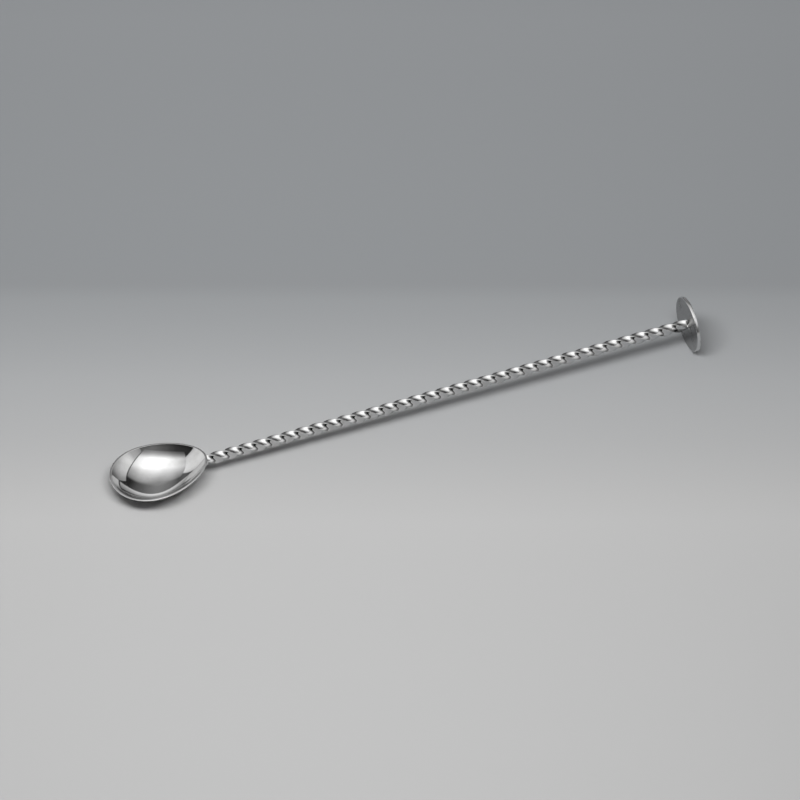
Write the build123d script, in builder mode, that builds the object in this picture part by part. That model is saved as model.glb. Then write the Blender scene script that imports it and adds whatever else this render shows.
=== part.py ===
"""Bar spoon with a pressed bowl, a twisted square stem and a muddling disc.

Five pieces: the bowl, the stem, the disc and the two welds that hold them.
The spoon lies as it rests on a table: the table is Z = 0, the stem runs along
+X from the bowl to the disc, and the origin is under the middle of the spoon.
All sizes are in millimetres and all angles in degrees.
"""

import os
from math import asin, atan, cos, degrees, pi, radians, sin, sqrt, tan

from build123d import *

# ---------------------------------------------------------------- whole spoon
overall_length = 270.0      # bowl tip to the disc's outer face, along the stem

# ---------------------------------------------------------------- pressed bowl
bowl_length = 43.4          # over the eased rim
bowl_width = 34.2           # over the eased rim, before the egg shape's taper
bowl_taper = 0.18           # how much the egg narrows towards the stem
bowl_depth = 8.1            # inside, under the rim
bowl_wall = 0.9             # sheet thickness
bowl_fullness = 2.8         # 2 is a plain paraboloid, more gives a fuller bowl
rim_bevel = bowl_wall / 3   # eased edges of the sheet
bowl_lift = 3.2             # angle between the rim and the stem's axis
rim_above_axis = 2.2        # rim's centre above the stem's axis

# ---------------------------------------------------------------- twisted stem
stem_side = 3.8             # square bar, across the flats
stem_edge_flat = 0.35       # worn and polished edges of the bar
twist_pitch = 26.25         # length of one full right-handed turn
twist_start = 66.0          # turn of the square where it meets the bowl
cope_overlap = 10.0         # bar under the bowl, ground away to seat on its wall

# ---------------------------------------------------------------- muddling disc
disc_diameter = 25.0
disc_thickness = 1.5
disc_bevel = disc_thickness / 5
tenon_diameter = 3.0        # turned end of the bar, through the disc
tenon_clearance = 0.02      # radial, between the tenon and the disc's hole
peened_diameter = 4.2       # tenon's riveted head, flush in its countersink
peened_angle = 90.0

# ---------------------------------------------------------------- welds
bowl_weld_leg = 0.7
disc_weld_leg = 0.6
disc_weld_angle = 45.0      # between the weld's face and the stem

# ---------------------------------------------------------------- shape accuracy
outline_points = 12         # points of the closed curve of each egg outline
bowl_levels = 6             # outlines that each side of the bowl is lofted through
bottom_share = 0.06         # size of the lowest outline against the rim's
resting_steps = 20          # repeats that settle the spoon's angle on the table


# ---------------------------------------------------------------- worked-out bowl
outer_depth = bowl_depth + bowl_wall
end_slope = atan(bowl_fullness * outer_depth / (bowl_length / 2))
side_slope = atan(bowl_fullness * outer_depth / (bowl_width / 2))
sharp_half_length = bowl_length / 2 + rim_bevel * cos(end_slope)
sharp_half_width = bowl_width / 2 + rim_bevel * cos(side_slope)


def lowest_of_bowl(pitch):
    """Height of the outer wall's lowest point from the rim's centre, at a pitch."""
    share = (sharp_half_length * tan(pitch) / (bowl_fullness * outer_depth)) ** (
        1 / (bowl_fullness - 1)
    )
    along = -sharp_half_length * share
    down = -outer_depth * (1 - share**bowl_fullness)
    return along * sin(pitch) + down * cos(pitch)


# ---------------------------------------------------------------- how it rests
disc_radius = disc_diameter / 2
disc_start = overall_length - disc_thickness
bowl_centre = bowl_length / 2 * cos(radians(bowl_lift))
stem_pitch = 0.0
for _ in range(resting_steps):
    bowl_pitch = radians(bowl_lift) + stem_pitch
    drop = (disc_radius + rim_above_axis) * cos(stem_pitch)
    stem_pitch = asin(
        (drop + lowest_of_bowl(bowl_pitch)) / (disc_start + disc_bevel - bowl_centre)
    )

axis_start_height = disc_radius * cos(stem_pitch) - (disc_start + disc_bevel) * sin(
    stem_pitch
)
axis_start_x = -(overall_length * cos(stem_pitch) + disc_radius * sin(stem_pitch)) / 2

stem_direction = Vector(cos(stem_pitch), 0, sin(stem_pitch))
stem_up = Vector(-sin(stem_pitch), 0, cos(stem_pitch))
axis_start = Vector(axis_start_x, 0, axis_start_height)


def cross_plane(distance):
    """Plane square to the stem, at a distance from the bowl's tip."""
    return Plane(
        origin=axis_start + stem_direction * distance,
        x_dir=(0, 1, 0),
        z_dir=stem_direction,
    )


rim_plane = Plane(
    origin=axis_start + stem_direction * bowl_centre + stem_up * rim_above_axis,
    x_dir=(cos(bowl_pitch), 0, sin(bowl_pitch)),
    z_dir=(-sin(bowl_pitch), 0, cos(bowl_pitch)),
)


# ---------------------------------------------------------------- bowl blanks
def egg_outline(half_length, half_width, share):
    """Points round the egg outline, scaled about the bowl's centre."""
    points = []
    for index in range(outline_points):
        turn = 2 * pi * index / outline_points
        along = cos(turn)
        across = sin(turn) * (1 - bowl_taper * along)
        points.append((share * half_length * along, share * half_width * across))
    return points


def bowl_blank(half_length, half_width, depth):
    """Filled bowl form: egg outlines lofted from the rim down to the bottom."""
    with BuildPart() as blank:
        for level in range(bowl_levels):
            share = 1 - (1 - bottom_share) * level / (bowl_levels - 1)
            fall = depth * (1 - share**bowl_fullness)
            with BuildSketch(rim_plane.offset(-fall)):
                with BuildLine():
                    Spline(*egg_outline(half_length, half_width, share), periodic=True)
                make_face()
        loft()
    return blank.part


outer_blank = bowl_blank(sharp_half_length, sharp_half_width, outer_depth)
inner_blank = bowl_blank(
    sharp_half_length - bowl_wall / sin(end_slope),
    sharp_half_width - bowl_wall / sin(side_slope),
    bowl_depth,
)
weld_reach = bowl_weld_leg / sin(end_slope)
weld_blank = bowl_blank(
    sharp_half_length + weld_reach,
    sharp_half_width + bowl_weld_leg / sin(side_slope),
    outer_depth + bowl_weld_leg,
)

# ---------------------------------------------------------------- bowl
with BuildPart() as bowl:
    add(outer_blank)
    add(inner_blank, mode=Mode.SUBTRACT)
    rim = bowl.faces().sort_by(Axis(rim_plane.origin, rim_plane.z_dir))[-1]
    chamfer(rim.edges(), length=rim_bevel)

# ---------------------------------------------------------------- stem
bar_start = bowl_length - cope_overlap
bar_length = disc_start - bar_start
bar_corner = (stem_side - stem_edge_flat) / sqrt(2)
head_depth = (peened_diameter - tenon_diameter) / 2 / tan(radians(peened_angle / 2))

with BuildSketch(cross_plane(bar_start)) as bar_section:
    Rectangle(stem_side, stem_side, rotation=twist_start)
    chamfer(bar_section.vertices(), length=stem_edge_flat)

with BuildPart() as stem:
    add(
        Solid.extrude_linear_with_rotation(
            bar_section.sketch.face(),
            center=cross_plane(bar_start).origin,
            normal=stem_direction * bar_length,
            angle=360 * bar_length / twist_pitch,
        )
    )
    add(outer_blank, mode=Mode.SUBTRACT)
    with BuildSketch(cross_plane(disc_start)):
        Circle(tenon_diameter / 2)
    extrude(amount=disc_thickness - head_depth)
    with BuildSketch(cross_plane(overall_length - head_depth)):
        Circle(tenon_diameter / 2)
    extrude(amount=head_depth, taper=-peened_angle / 2)

# ---------------------------------------------------------------- disc
with BuildPart() as disc:
    with BuildSketch(cross_plane(disc_start)):
        Circle(disc_radius)
    extrude(amount=disc_thickness)
    chamfer(disc.edges().filter_by(GeomType.CIRCLE), length=disc_bevel)
    with Locations(cross_plane(overall_length)):
        CounterSinkHole(
            radius=tenon_diameter / 2 + tenon_clearance,
            counter_sink_radius=peened_diameter / 2 + tenon_clearance,
            counter_sink_angle=peened_angle,
        )

# ---------------------------------------------------------------- welds
with BuildPart() as bowl_weld:
    with BuildSketch(cross_plane(bar_start)):
        Circle(bar_corner + bowl_weld_leg)
    extrude(amount=cope_overlap + 2 * weld_reach)
    add(weld_blank, mode=Mode.INTERSECT)
    add(outer_blank, mode=Mode.SUBTRACT)
    add(stem.part, mode=Mode.SUBTRACT)

with BuildPart() as disc_weld:
    with BuildSketch(cross_plane(disc_start)):
        Circle(bar_corner + disc_weld_leg)
    extrude(amount=-disc_weld_leg, taper=disc_weld_angle)
    add(stem.part, mode=Mode.SUBTRACT)

# ---------------------------------------------------------------- files
os.makedirs("parts", exist_ok=True)
bowl.part.label = "bowl"
stem.part.label = "stem"
disc.part.label = "muddling_disc"
bowl_weld.part.label = "bowl_weld"
disc_weld.part.label = "disc_weld"
for piece in (bowl, stem, disc, bowl_weld, disc_weld):
    export_step(piece.part, f"parts/{piece.part.label}.step")

print(f"stem rises {degrees(stem_pitch):.2f} deg, rim {degrees(bowl_pitch):.2f} deg")
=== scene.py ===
"""Bar spoon in polished steel: pressed bowl, twisted square stem, muddling disc.

The spoon rests on a table at Z = 0 with its stem along +X. Lengths are in metres.
"""

import logging
from dataclasses import dataclass, field
from enum import Enum
from math import asin, atan, cos, degrees, pi, radians, sin, sqrt, tan

import bmesh
import bpy
from bpy.types import ID, Light, Material, Mesh, Node, NodeInputs, NodeOutputs
from bpy.types import NodeSocket, NodeTree, Object
from mathutils import Matrix, Vector

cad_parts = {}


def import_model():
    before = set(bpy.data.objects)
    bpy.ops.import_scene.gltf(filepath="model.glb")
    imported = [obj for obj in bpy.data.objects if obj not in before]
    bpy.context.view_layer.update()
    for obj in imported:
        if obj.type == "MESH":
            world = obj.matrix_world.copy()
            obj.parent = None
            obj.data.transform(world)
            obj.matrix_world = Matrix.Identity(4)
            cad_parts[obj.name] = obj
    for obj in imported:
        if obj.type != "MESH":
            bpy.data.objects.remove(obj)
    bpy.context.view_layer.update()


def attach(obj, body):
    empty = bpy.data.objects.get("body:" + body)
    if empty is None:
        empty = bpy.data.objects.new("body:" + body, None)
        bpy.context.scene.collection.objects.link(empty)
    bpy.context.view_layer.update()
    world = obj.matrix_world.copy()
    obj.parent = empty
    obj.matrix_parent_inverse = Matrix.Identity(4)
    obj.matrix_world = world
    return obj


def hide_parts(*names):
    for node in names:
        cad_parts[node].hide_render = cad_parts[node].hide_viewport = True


LOG = logging.getLogger("bar_spoon")
MM = 0.001
Pair = tuple[float, float]
Triple = tuple[float, float, float]
Stops = tuple[Pair, ...]
Rings = list[list[Vector]]


# ---- sizes and rest
@dataclass(frozen=True)
class SpoonSizes:
    """Driving sizes of the spoon."""

    overall_length: float = 270.0 * MM
    bowl_length: float = 43.4 * MM
    bowl_width: float = 34.2 * MM
    bowl_taper: float = 0.18
    bowl_depth: float = 8.1 * MM
    bowl_wall: float = 0.9 * MM
    bowl_fullness: float = 2.8
    rim_bevel: float = 0.4 * MM
    bowl_lift: float = radians(3.2)
    rim_above_axis: float = 2.2 * MM
    stem_side: float = 3.8 * MM
    twist_pitch: float = 26.25 * MM
    twist_start: float = radians(66.0)
    cope_overlap: float = 10.0 * MM
    disc_diameter: float = 25.0 * MM
    disc_thickness: float = 1.5 * MM
    disc_bevel: float = 0.3 * MM
    tenon_diameter: float = 3.0 * MM
    peened_diameter: float = 4.2 * MM
    bowl_weld_leg: float = 0.7 * MM
    disc_weld_leg: float = 0.6 * MM

    @property
    def outer_depth(self) -> float:
        """Depth of the bowl's outer wall under the rim."""
        return self.bowl_depth + self.bowl_wall

    def half_sizes(self, outer: bool) -> Pair:
        """Half length and half width of a wall at its unrounded rim.

        Args:
            outer: Whether it is the outer wall.

        Returns:
            The two halves.
        """
        halves = []
        for size in (self.bowl_length, self.bowl_width):
            slope = atan(self.bowl_fullness * self.outer_depth / (size / 2))
            half = size / 2 + self.rim_bevel * cos(slope)
            halves.append(half if outer else half - self.bowl_wall / sin(slope))
        return halves[0], halves[1]

    @property
    def bar_start(self) -> float:
        """Distance of the bar's first section from the bowl's tip."""
        return self.bowl_length - self.cope_overlap

    @property
    def disc_start(self) -> float:
        """Distance of the disc's inner face from the bowl's tip."""
        return self.overall_length - self.disc_thickness

    def wall_depth(self, outer: bool) -> float:
        """Depth of the outer or the inner wall under the rim."""
        return self.outer_depth if outer else self.bowl_depth

    def twist(self, distance: float) -> float:
        """Turn of the square at a distance from the bowl's tip, in radians."""
        turned = 2 * pi * (distance - self.bar_start) / self.twist_pitch
        return self.twist_start + turned

    def lowest_of_bowl(self, pitch: float) -> float:
        """Height of the outer wall's lowest point from the rim's centre.

        Args:
            pitch: Slope of the rim, in radians.

        Returns:
            The height, which is negative.
        """
        half = self.half_sizes(True)[0]
        full = self.bowl_fullness
        share = (half * tan(pitch) / (full * self.outer_depth)) ** (1 / (full - 1))
        down = -self.outer_depth * (1 - share**full)
        return -half * share * sin(pitch) + down * cos(pitch)


@dataclass
class RestingSpoon:
    """The stem's axis and the rim's plane of a spoon that rests on the table."""

    sizes: SpoonSizes
    resting_steps: int = 20
    outline_steps: int = 8
    search_steps: int = 30
    search_past: float = 1.0 * MM
    least_share: float = 1e-6
    stem_pitch: float = field(init=False, default=0.0)
    bowl_pitch: float = field(init=False, default=0.0)

    def __post_init__(self) -> None:
        """Settles the bowl's bottom and the disc's edge on the table."""
        s = self.sizes
        radius = s.disc_diameter / 2
        self.bowl_reach = s.bowl_length / 2 * cos(s.bowl_lift)
        for _ in range(self.resting_steps):
            self.bowl_pitch = s.bowl_lift + self.stem_pitch
            drop = (radius + s.rim_above_axis) * cos(self.stem_pitch)
            self.stem_pitch = asin(
                (drop + s.lowest_of_bowl(self.bowl_pitch))
                / (s.disc_start + s.disc_bevel - self.bowl_reach)
            )
        rise, run = sin(self.stem_pitch), cos(self.stem_pitch)
        self.along = Vector((run, 0, rise))
        self.side = Vector((0, 1, 0))
        self.up = Vector((-rise, 0, run))
        back = -(s.overall_length * run + radius * rise) / 2
        lift = radius * run - (s.disc_start + s.disc_bevel) * rise
        self.tip = Vector((back, 0, lift))
        self.rim_centre = self.axis(self.bowl_reach) + self.up * s.rim_above_axis
        self.rim_along = Vector((cos(self.bowl_pitch), 0, sin(self.bowl_pitch)))
        self.rim_up = Vector((-sin(self.bowl_pitch), 0, cos(self.bowl_pitch)))

    def axis(self, distance: float) -> Vector:
        """Point of the stem's axis at a distance from the bowl's tip."""
        return self.tip + self.along * distance

    def round_axis(self, distance: float, radius: float, angle: float) -> Vector:
        """Point at a radius round the stem's axis, its angle counted from +Y."""
        beside = self.side * (radius * cos(angle)) + self.up * (radius * sin(angle))
        return self.axis(distance) + beside

    def from_rim(self, x: float, y: float, z: float) -> Vector:
        """Point given from the rim's centre, in the rim's own directions."""
        return self.rim_centre + self.rim_along * x + self.side * y + self.rim_up * z

    def inside_bowl(self, point: Vector) -> float:
        """How far a point is above the bowl's outer wall.

        Args:
            point: A point in the shared frame.

        Returns:
            The height over the wall, in the rim's upward direction.
        """
        s = self.sizes
        offset = point - self.rim_centre
        half_length, half_width = s.half_sizes(True)
        x = offset.dot(self.rim_along) / half_length
        y = offset.dot(self.side) / half_width
        share = max(sqrt(x * x + y * y), self.least_share)
        for _ in range(self.outline_steps):
            share = sqrt(x * x + (y / (1 - s.bowl_taper * x / share)) ** 2)
        wall = -s.outer_depth * (1 - share**s.bowl_fullness)
        return offset.dot(self.rim_up) - wall

    def wall_distance(
        self, radius: float, angle: float, twisted: bool = False, depth: float = 0.0
    ) -> float:
        """Where a line along the stem reaches the bowl's outer wall.

        Args:
            radius: The line's distance from the stem's axis.
            angle: Its angle, from +Y, or from the square's first side if twisted.
            twisted: Whether the line turns with the bar.
            depth: How deep inside the wall the line ends.

        Returns:
            The distance from the bowl's tip.
        """
        s = self.sizes
        low, high = s.bar_start, s.bowl_length + self.search_past
        for _ in range(self.search_steps):
            middle = (low + high) / 2
            turned = angle + (s.twist(middle) if twisted else 0.0)
            if self.inside_bowl(self.round_axis(middle, radius, turned)) > depth:
                low = middle
            else:
                high = middle
        return (low + high) / 2


# ---- mesh building
@dataclass
class RingMesh:
    """A closed mesh of rings of points, joined one to the next.

    Two poles close its ends. Without them, the last ring joins the first.
    """

    rings: Rings
    poles: tuple[Vector, ...] = ()

    def points(self) -> list[Vector]:
        """The points of the rings, and then the poles."""
        return [point for ring in self.rings for point in ring] + list(self.poles)

    def faces(self) -> list[tuple[int, ...]]:
        """Quads between the rings, and triangles to the poles.

        Returns:
            The numbers of each face's points.
        """
        steps = len(self.rings[0])
        starts = [steps * number for number in range(len(self.rings))]
        pairs = list(zip(starts, starts[1:]))
        if not self.poles:
            pairs.append((starts[-1], starts[0]))
        turns = [(i, (i + 1) % steps) for i in range(steps)]
        faces = [(a + i, a + j, b + j, b + i) for a, b in pairs for i, j in turns]
        for number, end in enumerate((starts[0], starts[-1])[: len(self.poles)]):
            pole = starts[-1] + steps + number
            faces += [(end + i, end + j, pole) for i, j in turns]
        return faces

    def to_object(self, name: str, material: Material) -> Object:
        """Makes a smooth, outward-facing object of the rings.

        Args:
            name: The piece's name.
            material: The finish of every face.

        Returns:
            The new object, at the origin.
        """
        mesh = bpy.data.meshes.new(name)
        mesh.from_pydata([tuple(p) for p in self.points()], [], self.faces())
        mesh.materials.append(material)
        return finished_object(name, mesh)


def new_object(name: str, data: ID) -> Object:
    """Makes an object of a mesh, a light or a camera, and links it to the scene.

    Args:
        name: The object's name.
        data: What it holds.

    Returns:
        The object.
    """
    made = bpy.data.objects.new(name, data)
    bpy.context.scene.collection.objects.link(made)
    return made


def finished_object(name: str, mesh: Mesh) -> Object:
    """Turns the faces outwards, shades them smooth and links the object.

    Args:
        name: The piece's name.
        mesh: The mesh, in the shared frame.

    Returns:
        The new object.
    """
    work = bmesh.new()
    work.from_mesh(mesh)
    bmesh.ops.recalc_face_normals(work, faces=work.faces)
    work.to_mesh(mesh)
    work.free()
    mesh.polygons.foreach_set("use_smooth", [True] * len(mesh.polygons))
    mesh.update()
    return new_object(name, mesh)


def bend_through(
    start: Vector, corner: Vector, end: Vector, steps: int
) -> list[Vector]:
    """Points of a smooth bend from one line to another.

    Args:
        start: First point, on the first line.
        corner: Where the two lines meet.
        end: Last point, on the second line.
        steps: Number of parts.

    Returns:
        The points, both ends included.
    """
    points = []
    for i in range(steps + 1):
        u = i / steps
        points.append(start * (1 - u) ** 2 + corner * (2 * u * (1 - u)) + end * u**2)
    return points


def full_turn(steps: int) -> list[float]:
    """Equal steps of angle round a full turn, in radians."""
    return [2 * pi * i / steps for i in range(steps)]


def turned_rings(spoon: RestingSpoon, profile: list[Pair], steps: int) -> Rings:
    """Rings round the stem's axis, one for each distance and radius of a profile."""
    angles = full_turn(steps)
    return [[spoon.round_axis(d, r, a) for a in angles] for d, r in profile]


# ---- node helpers
class Nodes:
    """Adds and links the nodes of one tree."""

    def __init__(self, tree: NodeTree) -> None:
        """Takes the tree that the nodes go into."""
        self.tree = tree

    def put(self, socket: NodeSocket, value: object) -> None:
        """Links an output to an input, or sets the input's own value.

        Args:
            socket: The input.
            value: An output socket, or a plain value.
        """
        if isinstance(value, NodeSocket):
            self.tree.links.new(value, socket)
        else:
            socket.default_value = value

    def add(self, kind: str, settings: dict | None = None, **sockets) -> Node:
        """Adds a node.

        Args:
            kind: Blender's name for the node's type.
            settings: Values of the node's own properties.
            **sockets: Values or output sockets for its inputs, where a name's
                spaces are written as underscores.

        Returns:
            The new node.
        """
        node = self.tree.nodes.new(kind)
        for name, value in (settings or {}).items():
            setattr(node, name, value)
        for name, value in sockets.items():
            self.put(node.inputs[name.replace("_", " ")], value)
        return node

    def first(self, kind: str, settings: dict | None = None, **sockets) -> NodeSocket:
        """First output of a new node, made as add makes it."""
        return self.add(kind, settings, **sockets).outputs[0]

    def worked(self, kind: str, settings: dict, *values: object) -> NodeSocket:
        """Output in use of a new node that takes its inputs in order.

        Args:
            kind: Blender's name for the node's type.
            settings: Values of the node's own properties.
            *values: Values or sockets for the inputs in use.

        Returns:
            The output.
        """
        node = self.add(kind, settings)
        used = [socket for socket in node.inputs if socket.enabled]
        for socket, value in zip(used, values):
            self.put(socket, value)
        return next(socket for socket in node.outputs if socket.enabled)

    def maths(self, operation: str, *values: object) -> NodeSocket:
        """Result of a Math node."""
        return self.worked("ShaderNodeMath", {"operation": operation}, *values)

    def vector(self, operation: str, *values: object) -> NodeSocket:
        """Result of a Vector Math node."""
        return self.worked("ShaderNodeVectorMath", {"operation": operation}, *values)

    def mix(self, *values: object) -> NodeSocket:
        """Colour of a Mix node, from the second colour's share and two colours."""
        return self.worked("ShaderNodeMix", {"data_type": "RGBA"}, *values)

    def ranged(
        self,
        value: NodeSocket,
        source: Pair = (0.0, 1.0),
        target: Pair = (0.0, 1.0),
        easing: str = "LINEAR",
    ) -> NodeSocket:
        """Number of a Map Range node, mapped from one range to another."""
        settings = {"interpolation_type": easing}
        return self.worked("ShaderNodeMapRange", settings, value, *source, *target)

    def ramp(self, value: NodeSocket, stops: Stops) -> NodeSocket:
        """Grey of a Color Ramp node.

        Args:
            value: The place on the ramp.
            stops: Places from 0 to 1, and the grey at each.

        Returns:
            The grey, as a colour.
        """
        node = self.add("ShaderNodeValToRGB", Fac=value)
        elements = node.color_ramp.elements
        while len(elements) < len(stops):
            elements.new(0.5)
        for element, (place, grey) in zip(elements, stops):
            element.position = place
            element.color = (grey, grey, grey, 1.0)
        return node.outputs[0]


class SocketKind(Enum):
    """Kinds of socket that the node groups put out or take in."""

    NUMBER = "NodeSocketFloat"
    COUNT = "NodeSocketInt"
    PLACE = "NodeSocketVector"
    FINISH = "NodeSocketMaterial"
    SHAPE = "NodeSocketGeometry"


def new_tree(
    name: str,
    kind: str,
    inputs: dict[SocketKind, tuple[str, ...]],
    outputs: dict[SocketKind, tuple[str, ...]],
) -> tuple[Nodes, NodeOutputs, NodeInputs]:
    """Makes a node group with named sockets.

    Args:
        name: The group's name.
        kind: Blender's name for the tree's type.
        inputs: Names of the inputs of each kind.
        outputs: Names of the outputs of each kind.

    Returns:
        The tree's node helper, the sockets that it is given and those it puts out.
    """
    tree = bpy.data.node_groups.new(name, kind)
    for way, sockets in (("INPUT", inputs), ("OUTPUT", outputs)):
        for socket, labels in sockets.items():
            for label in labels:
                tree.interface.new_socket(label, in_out=way, socket_type=socket.value)
    nodes = Nodes(tree)
    given = nodes.add("NodeGroupInput").outputs
    return nodes, given, nodes.add("NodeGroupOutput").inputs


def new_material(name: str) -> tuple[Material, Nodes]:
    """Makes an empty material.

    Args:
        name: The material's name.

    Returns:
        The material and its node helper.
    """
    material = bpy.data.materials.new(name)
    material.use_nodes = True
    material.node_tree.nodes.clear()
    return material, Nodes(material.node_tree)


# ---- finishes
class PolishMarks:
    """Fine wheel marks, haze and specks left on hand-polished steel."""

    NAME = "polish_marks"
    SPECK_SCALE = 900.0
    SPECK_EDGE = (0.05, 0.16)
    SPECK_DEPTH = 0.35
    CLOUD_EDGE = (0.42, 0.68)
    CLOUD_HAZE = 0.65
    MARK_HAZE = 0.35

    @classmethod
    def group(cls) -> NodeTree:
        """The shared group, which is built at its first use."""
        return bpy.data.node_groups.get(cls.NAME) or cls.build()

    @classmethod
    def build(cls) -> NodeTree:
        """Builds the group.

        Returns:
            A group that puts out a height, a haze mask and a tint mask.
        """
        nodes, given, out = new_tree(
            cls.NAME,
            "ShaderNodeTree",
            {
                SocketKind.PLACE: ("Place", "Mark Stretch"),
                SocketKind.NUMBER: ("Mark Scale", "Cloud Scale"),
            },
            {SocketKind.NUMBER: ("Height", "Haze", "Tint")},
        )
        place = given["Place"]
        marks = nodes.first(
            "ShaderNodeTexNoise",
            Vector=nodes.vector("MULTIPLY", place, given["Mark Stretch"]),
            Scale=given["Mark Scale"],
            Detail=6.0,
            Roughness=0.62,
        )
        clouds = nodes.first(
            "ShaderNodeTexNoise",
            Vector=place,
            Scale=given["Cloud Scale"],
            Detail=4.0,
            Roughness=0.55,
        )
        cells = nodes.first("ShaderNodeTexVoronoi", Vector=place, Scale=cls.SPECK_SCALE)
        speck = nodes.ranged(cells, cls.SPECK_EDGE, (1.0, 0.0), "SMOOTHSTEP")
        cloud = nodes.ranged(clouds, cls.CLOUD_EDGE, easing="SMOOTHSTEP")
        seen = nodes.maths("MULTIPLY", speck, cloud)
        faint = nodes.maths("MULTIPLY", marks, cls.MARK_HAZE)
        height = nodes.maths("MULTIPLY_ADD", seen, -cls.SPECK_DEPTH, marks)
        haze = nodes.maths("MULTIPLY_ADD", cloud, cls.CLOUD_HAZE, faint)
        tint = nodes.maths("MAXIMUM", cloud, seen)
        for name, value in (("Height", height), ("Haze", haze), ("Tint", tint)):
            nodes.put(out[name], value)
        return nodes.tree


@dataclass(frozen=True)
class SteelFinish:
    """A polished steel finish and the marks that its polishing left.

    A face shade under 1 darkens a disc's faces against its rim, and a face haze
    over 1 makes them rougher than its rim.
    """

    name: str
    slot: str
    clean: Triple
    dull: Triple
    smooth: float
    hazy: float
    mark_stretch: Triple
    mark_scale: float
    cloud_scale: float
    mark_depth: float
    face_shade: float = 1.0
    face_haze: float = 1.0
    rim_edge: Pair = (0.955, 0.975)

    def rim_mask(self, nodes: Nodes) -> NodeSocket:
        """Mask of a disc's rim, from its place in the disc's own box.

        Args:
            nodes: The material's nodes.

        Returns:
            1 on the rim and 0 on the two faces.
        """
        whole = nodes.add("ShaderNodeTexCoord").outputs["Generated"]
        offset = nodes.vector("MULTIPLY_ADD", whole, (0.0, 2.0, 2.0), (0.0, -1.0, -1.0))
        return nodes.ranged(nodes.vector("LENGTH", offset), self.rim_edge)

    def material(self) -> Material:
        """Builds the finish, or finds it where it is already built.

        Returns:
            The material, ready for a piece.
        """
        if found := bpy.data.materials.get(self.name):
            return found
        material, nodes = new_material(self.name)
        marks = nodes.add(
            "ShaderNodeGroup",
            {"node_tree": PolishMarks.group()},
            Place=nodes.add("ShaderNodeTexCoord").outputs["Object"],
            Mark_Stretch=self.mark_stretch,
            Mark_Scale=self.mark_scale,
            Cloud_Scale=self.cloud_scale,
        ).outputs
        tint = nodes.mix(marks["Tint"], (*self.clean, 1.0), (*self.dull, 1.0))
        rough = nodes.ranged(marks["Haze"], target=(self.smooth, self.hazy))
        if self.face_shade < 1.0:
            rim = self.rim_mask(nodes)
            shade = nodes.ranged(rim, target=(self.face_shade, 1.0))
            haze = nodes.ranged(rim, target=(self.face_haze, 1.0))
            tint = nodes.vector("SCALE", tint, shade)
            rough = nodes.maths("MULTIPLY", rough, haze)
        height = marks["Height"]
        bump = nodes.first("ShaderNodeBump", Distance=self.mark_depth, Height=height)
        look = {"Base_Color": tint, "Metallic": 1.0, "Roughness": rough, "Normal": bump}
        steel = nodes.first("ShaderNodeBsdfPrincipled", **look)
        nodes.add("ShaderNodeOutputMaterial", Surface=steel)
        return material


class Finish(Enum):
    """The finishes of the spoon's pieces."""

    BOWL = SteelFinish(
        name="bowl_mirror_polish",
        slot="bowl_steel",
        clean=(0.68, 0.68, 0.68),
        dull=(0.62, 0.62, 0.615),
        smooth=0.045,
        hazy=0.075,
        mark_stretch=(1.0, 9.0, 9.0),
        mark_scale=260.0,
        cloud_scale=120.0,
        mark_depth=0.0006 * MM,
    )
    STEM = SteelFinish(
        name="stem_wheel_polish",
        slot="stem_steel",
        clean=(0.64, 0.64, 0.64),
        dull=(0.55, 0.55, 0.545),
        smooth=0.03,
        hazy=0.05,
        mark_stretch=(1.0, 6.0, 6.0),
        mark_scale=420.0,
        cloud_scale=300.0,
        mark_depth=0.0012 * MM,
    )
    DISC = SteelFinish(
        name="disc_turned_polish",
        slot="disc_steel",
        clean=(0.68, 0.68, 0.68),
        dull=(0.58, 0.58, 0.575),
        smooth=0.05,
        hazy=0.09,
        mark_stretch=(6.0, 1.0, 6.0),
        mark_scale=320.0,
        cloud_scale=160.0,
        mark_depth=0.001 * MM,
        face_shade=0.45,
        face_haze=3.5,
    )
    WELD = SteelFinish(
        name="weld_dressed_polish",
        slot="weld_steel",
        clean=(0.7, 0.7, 0.7),
        dull=(0.56, 0.555, 0.55),
        smooth=0.06,
        hazy=0.14,
        mark_stretch=(2.0, 5.0, 5.0),
        mark_scale=700.0,
        cloud_scale=500.0,
        mark_depth=0.002 * MM,
    )


def install(piece: Object, node: str, finish: Finish) -> None:
    """Puts a piece in the place of its CAD node.

    Args:
        piece: The finished piece.
        node: The CAD node that it stands for.
        finish: Not used.
    """
    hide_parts(node)
    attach(piece, "root")
    LOG.info("%s: %d faces, for %s", piece.name, len(piece.data.polygons), node)


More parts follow.
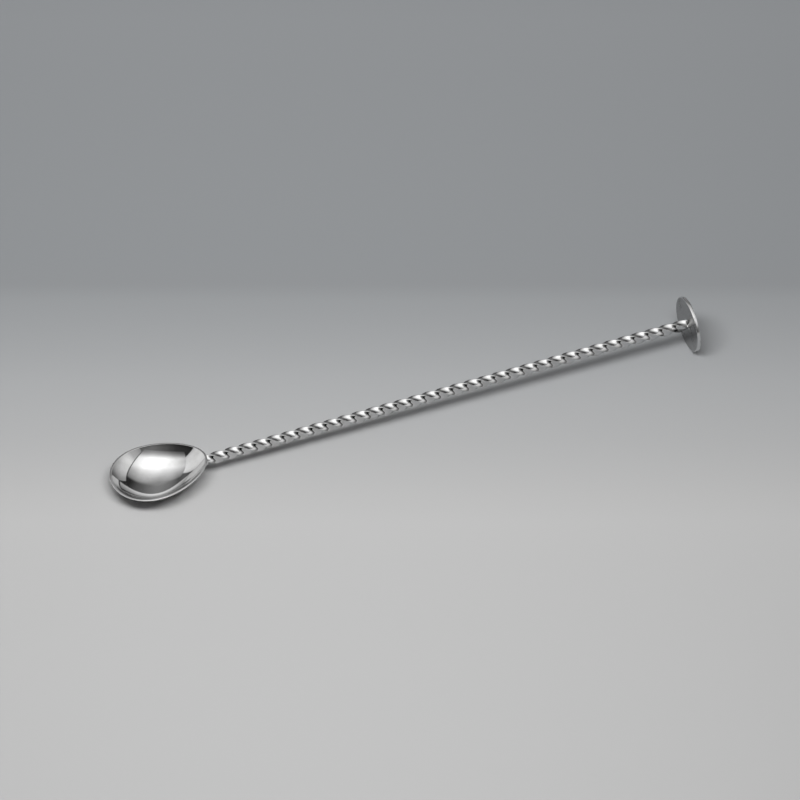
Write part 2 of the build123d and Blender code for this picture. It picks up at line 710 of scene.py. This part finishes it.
# ---- bowl
@dataclass
class PressedBowl:
    """The egg-shaped bowl, pressed from sheet, with its polished rim."""

    spoon: RestingSpoon
    turn_steps: int = 288
    wall_rings: int = 56
    bend_steps: int = 9
    outer_rounding: float = 0.7 * MM
    inner_rounding: float = 0.06 * MM
    edge_probe: float = 0.97
    gap_under_rim: float = 0.006

    def wall_point(self, outer: bool, share: float, turn: float) -> Vector:
        """Point of one wall, from the rim's centre.

        Args:
            outer: Whether it is the outer wall.
            share: Size of the outline against the rim's, from 0 to 1.
            turn: Angle round the outline, 0 towards the stem.

        Returns:
            The point in the rim's own directions.
        """
        s = self.spoon.sizes
        half_length, half_width = s.half_sizes(outer)
        along = cos(turn)
        x = share * half_length * along
        y = share * half_width * sin(turn) * (1 - s.bowl_taper * along)
        return Vector((x, y, -s.wall_depth(outer) * (1 - share**s.bowl_fullness)))

    def rim_section(self, turn: float) -> list[Vector]:
        """Rounded edge of the sheet, from the outer to the inner wall.

        Args:
            turn: Angle round the outline.

        Returns:
            Points from the rim's centre.
        """
        outer = self.wall_point(True, 1.0, turn)
        inner = self.wall_point(False, 1.0, turn)
        inwards = (inner - outer).normalized()
        down_outer = self.wall_point(True, self.edge_probe, turn) - outer
        down_inner = self.wall_point(False, self.edge_probe, turn) - inner
        start = outer + down_outer.normalized() * self.outer_rounding
        flat_start = outer + inwards * self.outer_rounding
        flat_end = inner - inwards * self.inner_rounding
        end = inner + down_inner.normalized() * self.inner_rounding
        rising = bend_through(start, outer, flat_start, self.bend_steps)
        return rising + bend_through(flat_end, inner, end, self.bend_steps)

    def wall(self, outer: bool, edge: list[Vector], turns: list[float]) -> Rings:
        """Rings of one wall, from near the middle to just under the rounded rim.

        Args:
            outer: Whether it is the outer wall.
            edge: Where the rounded rim ends on this wall.
            turns: Angles round the outline.

        Returns:
            The rings, from the rim's centre.
        """
        s = self.spoon.sizes
        lowest = min(point.z for point in edge)
        edge_share = (1 + lowest / s.wall_depth(outer)) ** (1 / s.bowl_fullness)
        last = edge_share - self.gap_under_rim
        count = self.wall_rings
        shares = [last * sin(pi / 2 * (i + 1) / count) for i in range(count)]
        return [[self.wall_point(outer, x, turn) for turn in turns] for x in shares]

    def build(self) -> Object:
        """Makes the bowl as one closed shell.

        Returns:
            The bowl's object.
        """
        turns = full_turn(self.turn_steps)
        rim = list(zip(*(self.rim_section(turn) for turn in turns)))
        inner_wall = self.wall(False, rim[-1], turns)
        rings = self.wall(True, rim[0], turns) + rim + inner_wall[::-1]
        placed = [[self.spoon.from_rim(*p) for p in ring] for ring in rings]
        depths = [self.spoon.sizes.wall_depth(outer) for outer in (True, False)]
        poles = tuple(self.spoon.from_rim(0, 0, -depth) for depth in depths)
        shell = RingMesh(placed, poles)
        return shell.to_object("pressed_bowl", Finish.BOWL.value.material())


# ---- stem
@dataclass
class TwistedStem:
    """The twisted square bar, with its tenon and riveted head in the disc."""

    spoon: RestingSpoon
    corner_radius: float = 0.22 * MM
    corner_steps: int = 10
    side_hollow: float = 0.12 * MM
    rings_each_turn: int = 84
    section_points: int = 72
    seat_depth: float = 0.6 * MM
    settle_length: float = 14.0 * MM
    lathe_steps: int = 96
    tenon_root: float = 0.4 * MM
    tenon_root_share: float = 0.9
    head_middle_share: float = 0.4
    head_bend: Stops = (
        (0.14 * MM, 0.06 * MM),
        (0.06 * MM, 0.03 * MM),
        (0.02 * MM, 0.09 * MM),
        (0.005 * MM, 0.2 * MM),
        (0.0, 0.4 * MM),
    )

    def section_radius(self, distance: float, angle: float) -> float:
        """Radius of the bar's surface at an angle round the axis.

        Args:
            distance: Distance from the bowl's tip.
            angle: Angle round the axis, from +Y.

        Returns:
            The radius.
        """
        half = self.spoon.sizes.stem_side / 2
        turned = (angle - self.spoon.sizes.twist(distance)) % (pi / 2)
        turned = min(turned, pi / 2 - turned)
        flat = half - self.corner_radius
        hollow = self.side_hollow * cos(2 * turned) ** 2
        if half * tan(turned) <= flat:
            return half / cos(turned) - hollow
        middle = flat * (cos(turned) + sin(turned))
        return middle + sqrt(middle**2 - 2 * flat**2 + self.corner_radius**2) - hollow

    def bar_section(self, nodes: Nodes, given: NodeOutputs) -> NodeSocket:
        """Adds the nodes of the bar's square section, with its hollow sides.

        Args:
            nodes: The tree's node helper.
            given: The tree's inputs.

        Returns:
            The socket that puts out the section's curve.
        """
        side = given["Side"]
        square = nodes.first(
            "GeometryNodeCurvePrimitiveQuadrilateral", Width=side, Height=side
        )
        eased = nodes.first(
            "GeometryNodeFilletCurve",
            {"mode": "POLY"},
            Curve=square,
            Count=self.corner_steps,
            Radius=given["Corner Radius"],
        )
        count = given["Section Points"]
        section = nodes.first("GeometryNodeResampleCurve", Curve=eased, Count=count)
        outward = nodes.vector("NORMALIZE", nodes.first("GeometryNodeInputPosition"))
        parts = nodes.add("ShaderNodeSeparateXYZ", Vector=outward).outputs
        squares = [nodes.maths("POWER", parts[axis], 2.0) for axis in "XY"]
        share = nodes.maths("POWER", nodes.maths("SUBTRACT", *squares), 2.0)
        dip = nodes.maths("MULTIPLY", share, given["Side Hollow"])
        inward = nodes.vector("SCALE", outward, nodes.maths("MULTIPLY", dip, -1.0))
        return nodes.first("GeometryNodeSetPosition", Geometry=section, Offset=inward)

    def bar_tree(self) -> NodeTree:
        """Geometry Nodes tree that twists a square bar along its axis.

        Returns:
            The tree, with its sizes as named inputs.
        """
        nodes, given, out = new_tree(
            "twisted_bar",
            "GeometryNodeTree",
            {
                SocketKind.PLACE: ("Start", "End"),
                SocketKind.NUMBER: (
                    "Side", "Corner Radius", "Side Hollow", "Pitch", "First Turn",
                ),
                SocketKind.COUNT: ("Rings", "Section Points"),
                SocketKind.FINISH: ("Finish",),
            },
            {SocketKind.SHAPE: ("Bar",)},
        )
        made = nodes.first
        ends = {name: given[name] for name in ("Start", "End")}
        line = made("GeometryNodeCurvePrimitiveLine", **ends)
        path = made("GeometryNodeResampleCurve", Curve=line, Count=given["Rings"])
        upright = made("GeometryNodeSetCurveNormal", {"mode": "Z_UP"}, Curve=path)
        distance = nodes.add("GeometryNodeSplineParameter").outputs["Length"]
        turns = nodes.maths("DIVIDE", distance, given["Pitch"])
        tilt = nodes.maths("MULTIPLY_ADD", turns, 2 * pi, given["First Turn"])
        twisted = made("GeometryNodeSetCurveTilt", Curve=upright, Tilt=tilt)
        section = self.bar_section(nodes, given)
        curves = {"Curve": twisted, "Profile_Curve": section}
        bar = made("GeometryNodeCurveToMesh", Fill_Caps=True, **curves)
        whole = made("GeometryNodeRealizeInstances", Geometry=bar)
        finish = given["Finish"]
        dressed = made("GeometryNodeSetMaterial", Geometry=whole, Material=finish)
        nodes.put(out["Bar"], dressed)
        return nodes.tree

    def twisted_bar(self, material: Material) -> Mesh:
        """Runs the tree and returns the bar as a plain mesh.

        Args:
            material: The bar's finish.

        Returns:
            The mesh, from inside the bowl's wall to the disc.
        """
        s = self.spoon.sizes
        length = s.disc_start - s.bar_start
        values = {
            "Start": tuple(self.spoon.axis(s.bar_start)),
            "End": tuple(self.spoon.axis(s.disc_start)),
            "Side": s.stem_side,
            "Corner Radius": self.corner_radius,
            "Side Hollow": self.side_hollow,
            "Pitch": s.twist_pitch,
            "First Turn": s.twist_start,
            "Rings": int(length / s.twist_pitch * self.rings_each_turn),
            "Section Points": self.section_points,
            "Finish": material,
        }
        holder = new_object("bar_path", bpy.data.meshes.new("bar_path"))
        modifier = holder.modifiers.new("twist", "NODES")
        modifier.node_group = self.bar_tree()
        for item in modifier.node_group.interface.items_tree:
            if item.in_out == "INPUT":
                modifier[item.identifier] = values[item.name]
        ready = holder.evaluated_get(bpy.context.evaluated_depsgraph_get())
        mesh = bpy.data.meshes.new_from_object(ready)
        holder.modifiers.clear()
        bpy.data.objects.remove(holder)
        return mesh

    def seat_on_bowl(self, mesh: Mesh) -> None:
        """Slides the bar's first rings along their twist on to the bowl's wall.

        Args:
            mesh: The bar's mesh, which is changed.
        """
        spoon, s = self.spoon, self.spoon.sizes
        span = self.settle_length + s.cope_overlap
        end = s.bar_start + span
        seats: dict[Pair, float] = {}
        for vertex in mesh.vertices:
            offset = vertex.co - spoon.tip
            distance = offset.dot(spoon.along)
            if distance > end:
                continue
            across, above = offset.dot(spoon.side), offset.dot(spoon.up)
            radius = sqrt(across**2 + above**2)
            turned = Vector((across, above)).angle_signed(Vector((1, 0)))
            own = turned - s.twist(distance)
            key = (round(cos(own), 4), round(sin(own), 4))
            if key not in seats:
                seats[key] = spoon.wall_distance(radius, own, True, self.seat_depth)
            share = (distance - s.bar_start) / span
            moved = seats[key] + share * (end - seats[key])
            vertex.co = spoon.round_axis(moved, radius, own + s.twist(moved))

    def tenon(self) -> RingMesh:
        """Turned end of the bar, through the disc, with its flush head.

        Returns:
            The tenon's rings.
        """
        s = self.spoon.sizes
        tenon, head = s.tenon_diameter / 2, s.peened_diameter / 2
        root, end = s.disc_start - self.tenon_root, s.overall_length
        profile = [
            (root, tenon * self.tenon_root_share),
            (s.disc_start, tenon),
            (end - (head - tenon), tenon),
            *((end - back, head - inset) for back, inset in self.head_bend),
            (end, head * self.head_middle_share),
        ]
        rings = turned_rings(self.spoon, profile, self.lathe_steps)
        return RingMesh(rings, (self.spoon.axis(root), self.spoon.axis(end)))

    def build(self) -> Object:
        """Makes the stem, seated on the bowl and riveted in the disc.

        Returns:
            The stem's object.
        """
        bar = self.twisted_bar(Finish.STEM.value.material())
        self.seat_on_bowl(bar)
        tenon = self.tenon()
        work = bmesh.new()
        work.from_mesh(bar)
        points = [work.verts.new(p) for p in tenon.points()]
        for face in tenon.faces():
            work.faces.new([points[i] for i in face])
        work.to_mesh(bar)
        work.free()
        return finished_object("twisted_stem", bar)


# ---- disc
@dataclass
class MuddlingDisc:
    """The flat disc that crushes herbs and sugar, countersunk for the tenon."""

    spoon: RestingSpoon
    steps: int = 256
    face_rings: int = 10
    rounding: float = 0.42 * MM
    bend_steps: int = 8
    ease: float = 0.05 * MM
    sink_bend: Stops = ((0.2, 0.6), (1.0, 0.0))

    def corner(self, distance: float, radius: float, inner_side: bool) -> list[Pair]:
        """Rounded outer edge of one face.

        Args:
            distance: Distance of the face from the bowl's tip.
            radius: The disc's radius.
            inner_side: Whether the face looks towards the bowl.

        Returns:
            Profile points, from the inner face outwards.
        """
        into = self.rounding if inner_side else -self.rounding
        face = Vector((distance, radius - self.rounding, 0))
        edge = Vector((distance + into, radius, 0))
        start, end = (face, edge) if inner_side else (edge, face)
        bend = bend_through(start, Vector((distance, radius, 0)), end, self.bend_steps)
        return [(p.x, p.y) for p in bend]

    def face(self, distance: float, inner: float, outer: float) -> list[Pair]:
        """Profile points that keep a face flat, from its hole to its edge."""
        shares = [i / self.face_rings for i in range(self.face_rings + 1)]
        return [(distance, inner + (outer - inner) * share) for share in shares]

    def build(self) -> Object:
        """Makes the disc as one turned, closed form.

        Returns:
            The disc's object.
        """
        s = self.spoon.sizes
        radius = s.disc_diameter / 2
        hole, sink = s.tenon_diameter / 2, s.peened_diameter / 2
        near, far = s.disc_start, s.overall_length
        edge = radius - self.rounding - self.ease
        profile = [
            *self.face(near, hole, edge),
            *self.corner(near, radius, True),
            *self.corner(far, radius, False),
            *reversed(self.face(far, sink + 2 * self.ease, edge)),
            *((far - x * self.ease, sink + y * self.ease) for x, y in self.sink_bend),
            (far - (sink - hole), hole),
        ]
        shell = RingMesh(turned_rings(self.spoon, profile, self.steps))
        return shell.to_object("muddling_disc_polished", Finish.DISC.value.material())


# ---- welds
@dataclass
class WeldCollars:
    """The two dressed welds, at the bowl's wall and at the disc's face."""

    spoon: RestingSpoon
    stem: TwistedStem
    steps: int = 128
    bend_steps: int = 7
    buried: float = 0.35 * MM
    tucked: float = 0.04 * MM
    seat_radius: float = 2.1 * MM
    bowl_spread: float = 0.7
    disc_spread: float = 0.8

    def foot(self, leg: float, spread: float) -> float:
        """Radius of a weld on its seat, past the bar's eased corners."""
        corner = self.spoon.sizes.stem_side / sqrt(2)
        return corner - self.stem.corner_radius * (sqrt(2) - 1) + leg * spread

    def top(self, distance: float, angle: float) -> Pair:
        """Where a weld leaves the bar, just under the bar's surface."""
        return distance, self.stem.section_radius(distance, angle) - self.tucked

    def outline(self, at_bowl: bool, angle: float) -> list[Pair]:
        """Top, corner and base of a weld, as distances and radii.

        Args:
            at_bowl: Whether it is the bowl's weld, or else the disc's.
            angle: Angle round the axis.

        Returns:
            The three points.
        """
        s, wall = self.spoon.sizes, self.spoon.wall_distance
        if at_bowl:
            foot = self.foot(s.bowl_weld_leg, self.bowl_spread)
            bar = self.stem.section_radius(wall(self.seat_radius, angle), angle)
            corner, base = wall(bar, angle), wall(foot, angle) - self.tucked
            top = self.top(corner + s.bowl_weld_leg, angle)
        else:
            foot = self.foot(s.disc_weld_leg, self.disc_spread)
            bar = self.stem.section_radius(s.disc_start, angle)
            corner, base = s.disc_start, s.disc_start + self.tucked
            top = self.top(s.disc_start - s.disc_weld_leg, angle)
        return [top, (corner, bar), (base, foot)]

    def section(self, pairs: list[Pair], angle: float) -> list[Vector]:
        """Closed section of a collar at one angle.

        Args:
            pairs: Its top, corner and base.
            angle: Angle round the axis.

        Returns:
            The section's points, with one buried in the metal.
        """
        top, corner, base = (Vector((*pair, 0)) for pair in pairs)
        bend = bend_through(top, corner, base, self.bend_steps)
        away = self.buried if pairs[2][0] >= pairs[0][0] else -self.buried
        bend.append(Vector((pairs[1][0] + away, pairs[1][1] - self.buried, 0)))
        return [self.spoon.round_axis(p.x, p.y, angle) for p in bend]

    def build(self, at_bowl: bool) -> Object:
        """Makes one weld as a closed collar round the bar.

        Args:
            at_bowl: Whether it is the bowl's weld, or else the disc's.

        Returns:
            The weld's object.
        """
        name = "bowl_weld_dressed" if at_bowl else "disc_weld_dressed"
        turn = full_turn(self.steps)
        shell = RingMesh([self.section(self.outline(at_bowl, a), a) for a in turn])
        return shell.to_object(name, Finish.WELD.value.material())


# ---- studio
# Greys of the floor from near to far: painted light and shade, lighter and darker bands
# where the lamps' light falls more or less.
FLOOR_PAINTED_LIGHT: Stops = (
    (0.0, 0.364), (0.11, 0.374), (0.2, 0.394), (0.29, 0.419), (0.35, 0.442),
    (0.392, 0.463), (0.42, 0.456), (0.48, 0.43), (0.512, 0.424), (0.545, 0.415),
    (0.58, 0.391), (0.61, 0.373), (0.632, 0.362), (0.65, 0.329), (0.7, 0.348),
    (0.76, 0.375), (0.83, 0.408), (0.89, 0.44), (0.95, 0.479), (1.0, 0.5),
)
FRONT_SHADES: Stops = (
    (0.0, 0.03), (0.235, 0.04), (0.305, 0.05), (0.37, 0.09), (0.435, 0.13),
    (0.5, 0.17), (0.57, 0.2), (0.645, 0.16), (0.72, 0.15), (1.0, 0.1),
)
BACK_SHADES: Stops = (
    (0.0, 0.1), (0.25, 0.13), (0.31, 0.1), (0.37, 0.2), (0.43, 0.27), (0.46, 0.26),
    (0.51, 0.21), (0.57, 0.15), (0.645, 0.1), (0.7, 0.05), (0.73, 0.03), (1.0, 0.03),
)


@dataclass(frozen=True)
class Panel:
    """A soft lamp: its brightness, what shows it, and how it fades.

    A radiance of 1 shows as white. The stops of rising run up a wall, or away over
    the roof, and those of across run along the lamp's other side.
    """

    name: str
    radiance: float
    rising: Stops = ()
    across: Stops = ()
    lights_floor: bool = False
    in_steel: bool = True

    def light(self, size: Pair) -> Light:
        """Makes the lamp's light.

        Args:
            size: Its width, or its length for a wall, and its other size.

        Returns:
            The light.
        """
        light = bpy.data.lights.new(self.name, "AREA")
        light.shape = "RECTANGLE"
        light.size, light.size_y = size
        light.energy = pi * self.radiance * size[0] * size[1]
        if self.rising:
            light.use_nodes = True
            nodes = Nodes(light.node_tree)
            place = nodes.add("ShaderNodeNewGeometry").outputs["Parametric"]
            parts = nodes.add("ShaderNodeSeparateXYZ", Vector=place).outputs
            glow = light.node_tree.nodes["Emission"].inputs
            nodes.put(glow["Color"], nodes.ramp(parts["Y"], self.rising))
            nodes.put(glow["Strength"], nodes.ramp(parts["X"], self.across))
        return light


class Lamp(Enum):
    """The lamps round the spoon: a key lamp, and a tent seen in the steel."""

    ROOF = Panel(
        name="roof",
        radiance=1.6,
        rising=(
            (0.0, 0.05), (0.03, 0.1), (0.085, 0.17), (0.13, 0.28), (0.175, 0.43),
            (0.21, 0.63), (0.25, 0.84), (0.27, 0.94), (0.3, 1.0), (0.5, 1.0),
            (0.56, 0.81), (0.59, 0.7), (0.65, 0.58), (0.705, 0.46), (0.765, 0.38),
            (0.825, 0.29), (0.88, 0.23), (0.915, 0.175), (0.94, 0.105), (0.97, 0.04),
            (1.0, 0.0),
        ),
        across=(
            (0.0, 0.42), (0.2, 0.6), (0.4, 0.87), (0.48, 1.0), (0.7, 1.0),
            (0.85, 0.78), (0.93, 0.7), (1.0, 0.6),
        ),
    )
    KEY = Panel(name="key", radiance=14.0, lights_floor=True, in_steel=False)
    RIGHT_WALL = Panel(
        name="right_wall",
        radiance=0.97,
        rising=(
            (0.0, 0.2), (0.25, 0.27), (0.33, 0.39), (0.43, 0.6), (0.62, 0.86),
            (0.9, 1.0),
        ),
        across=(
            (0.0, 0.2), (0.1, 0.36), (0.22, 0.5), (0.29, 0.84), (0.35, 1.0),
            (0.44, 0.92), (0.58, 0.84), (0.69, 0.66), (0.76, 0.54), (0.84, 0.42),
            (0.92, 0.38), (0.985, 0.34), (1.0, 0.2),
        ),
    )
    LEFT_WALL = Panel(
        name="left_wall",
        radiance=0.9,
        rising=((0.0, 0.8), (0.3, 0.95), (1.0, 1.0)),
        across=(
            (0.0, 0.35), (0.07, 0.8), (0.2, 1.0), (0.8, 0.97), (0.93, 0.8), (1.0, 0.45),
        ),
    )


@dataclass
class Studio:
    """Pale floor, soft lamps, dim room and the camera.

    A side wall's three sizes are its gap to the roof, its middle and its length.
    """

    elevation: float = radians(42.0)
    heading: float = radians(21.554)
    target: Triple = (3.546 * MM, 13.078 * MM, 0.0)
    distance: float = 5.0
    far_clip: float = 50.0
    view_width: float = 348.83 * MM
    sensor_width: float = 36.0
    floor_reach: float = 6.0
    floor_roughness: float = 0.7
    shaded_depth: Pair = (-0.3, 0.3)
    cooling: Pair = (0.42, 0.68)
    cool_tint: Triple = (0.96, 1.0, 1.042)
    tent_turn: float = radians(10.5)
    roof_height: float = 0.72
    roof_slope: float = 0.06
    roof_depth: Pair = (-1.0, 0.72)
    roof_width: Pair = (-0.76, 0.49)
    key_place: Pair = (0.02, -0.34)
    key_size: Pair = (0.7, 0.24)
    key_under_roof: float = 0.03
    right_wall: Triple = (0.02, 0.165, 1.93)
    left_wall: Triple = (0.0, -0.11, 1.02)
    rising_look: Pair = (0.3, 0.5)
    low_share: float = 0.1
    front_to_back: Pair = (0.45, 0.55)

    def __post_init__(self) -> None:
        """Works out the directions of the camera and of the lamps' tent."""
        self.away = Vector((sin(self.heading), cos(self.heading), 0))
        self.right = Vector((cos(self.heading), -sin(self.heading), 0))
        turned, aside = cos(self.tent_turn), sin(self.tent_turn)
        self.tent_away = self.away * turned + self.right * aside
        self.tent_right = self.right * turned - self.away * aside

    def at(self, right: float, away: float, up: float) -> Vector:
        """Point given in the tent's directions from the spoon."""
        return self.tent_right * right + self.tent_away * away + Vector((0, 0, up))

    def camera(self) -> None:
        """Adds the camera at a long distance."""
        lens = bpy.data.cameras.new("camera")
        lens.sensor_width = self.sensor_width
        lens.lens = self.sensor_width * self.distance / self.view_width
        lens.clip_end = self.far_clip
        camera = new_object("camera", lens)
        back = -self.away * cos(self.elevation) + Vector((0, 0, sin(self.elevation)))
        camera.location = Vector(self.target) + back * self.distance
        camera.rotation_euler = back.to_track_quat("Z", "Y").to_euler()
        bpy.context.scene.camera = camera

    def floor(self) -> None:
        """Adds the wide floor, whose pale grey changes away from the camera with
        painted light and shade.
        """
        mesh = bpy.data.meshes.new("floor")
        reach = self.floor_reach
        corners = ((-reach, -reach), (reach, -reach), (reach, reach), (-reach, reach))
        mesh.from_pydata([(x, y, 0) for x, y in corners], [], [(0, 1, 2, 3)])
        floor = new_object("floor", mesh)
        mesh.materials.append(self.floor_paint())

    def floor_paint(self) -> Material:
        """Matt paint of the floor, with painted light and shade from near to far.

        Returns:
            The floor's material.
        """
        paint, nodes = new_material("floor_paint")
        place = nodes.add("ShaderNodeTexCoord").outputs["Object"]
        depth = nodes.vector("DOT_PRODUCT", place, tuple(self.away))
        share = nodes.ranged(depth, self.shaded_depth)
        far = nodes.ranged(share, self.cooling)
        cool = nodes.mix(far, (1.0, 1.0, 1.0, 1.0), (*self.cool_tint, 1.0))
        # painted light and shade: the floor's grey rises and falls from near to far
        tinted = nodes.vector("MULTIPLY", nodes.ramp(share, FLOOR_PAINTED_LIGHT), cool)
        look = {"Base_Color": tinted, "Roughness": self.floor_roughness}
        matt = nodes.first("ShaderNodeBsdfPrincipled", **look)
        nodes.add("ShaderNodeOutputMaterial", Surface=matt)
        return paint

    def hang(self, lamp: Lamp, place: Vector, facing: Vector, size: Pair) -> None:
        """Hangs one lamp.

        Args:
            lamp: The lamp.
            place: Its middle.
            facing: The direction that its light goes.
            size: Its two sizes, as for the panel.
        """
        panel = lamp.value
        holder = new_object(panel.name, panel.light(size))
        holder.location = place
        forward = facing.normalized()
        rise = self.tent_away if abs(forward.z) > 0.5 else Vector((0, 0, 1))
        turn = Matrix((forward.cross(rise), rise, -forward)).transposed()
        holder.rotation_euler = turn.to_euler()
        holder.visible_camera = False
        holder.visible_diffuse = panel.lights_floor
        holder.visible_glossy = panel.in_steel

    def lamps(self) -> None:
        """Hangs the diffuser overhead, the key lamp and the two side walls."""
        down = Vector((0, 0, -1))
        top, slope = self.roof_height, self.roof_slope
        (front, back), (left, right) = self.roof_depth, self.roof_width
        centre, width = (left + right) / 2, (right - left) * sqrt(1 + slope**2)
        roof = self.at(centre, (front + back) / 2, top - slope * centre)
        tilted = down - self.tent_right * slope
        self.hang(Lamp.ROOF, roof, tilted, (width, back - front))
        key = self.at(*self.key_place, top - self.key_under_roof)
        self.hang(Lamp.KEY, key, down, self.key_size)
        for lamp, side, gap, middle, length, inwards in (
            (Lamp.RIGHT_WALL, right, *self.right_wall, -self.tent_right),
            (Lamp.LEFT_WALL, left, *self.left_wall, self.tent_right),
        ):
            height = top - slope * side - gap
            place = self.at(side + gap, middle, height / 2)
            self.hang(lamp, place, inwards, (length, height))

    def room(self) -> None:
        """Gives the world its dim greys, which change with the direction seen."""
        world = bpy.data.worlds.new("room")
        world.use_nodes = True
        nodes = Nodes(world.node_tree)
        look = nodes.add("ShaderNodeTexCoord").outputs["Generated"]
        rightness, awayness = (
            nodes.ranged(nodes.vector("DOT_PRODUCT", look, tuple(way)), (-1.0, 1.0))
            for way in (self.right, self.away)
        )
        height = nodes.add("ShaderNodeSeparateXYZ", Vector=look).outputs["Z"]
        raised = nodes.ranged(height, self.rising_look, (self.low_share, 1.0))
        front = nodes.vector("SCALE", nodes.ramp(rightness, FRONT_SHADES), raised)
        back = nodes.ramp(rightness, BACK_SHADES)
        shade = nodes.mix(nodes.ranged(awayness, self.front_to_back), front, back)
        nodes.put(world.node_tree.nodes["Background"].inputs["Color"], shade)
        bpy.context.scene.world = world

    def build(self) -> None:
        """Sets up the floor, the lamps, the room and the camera."""
        self.floor()
        self.lamps()
        self.room()
        self.camera()
        bpy.context.scene.view_settings.view_transform = "Standard"


def main() -> None:
    """Builds the spoon's pieces and the studio, and reports each piece."""
    logging.basicConfig(level=logging.INFO, format="%(name)s: %(message)s")
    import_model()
    spoon = RestingSpoon(SpoonSizes())
    LOG.info("stem rises %.2f degrees", degrees(spoon.stem_pitch))
    stem = TwistedStem(spoon)
    welds = WeldCollars(spoon, stem)
    install(PressedBowl(spoon).build(), "bowl", Finish.BOWL)
    install(stem.build(), "stem", Finish.STEM)
    install(MuddlingDisc(spoon).build(), "muddling_disc", Finish.DISC)
    install(welds.build(at_bowl=True), "bowl_weld", Finish.WELD)
    install(welds.build(at_bowl=False), "disc_weld", Finish.WELD)
    Studio().build()


if __name__ == "__main__":
    main()
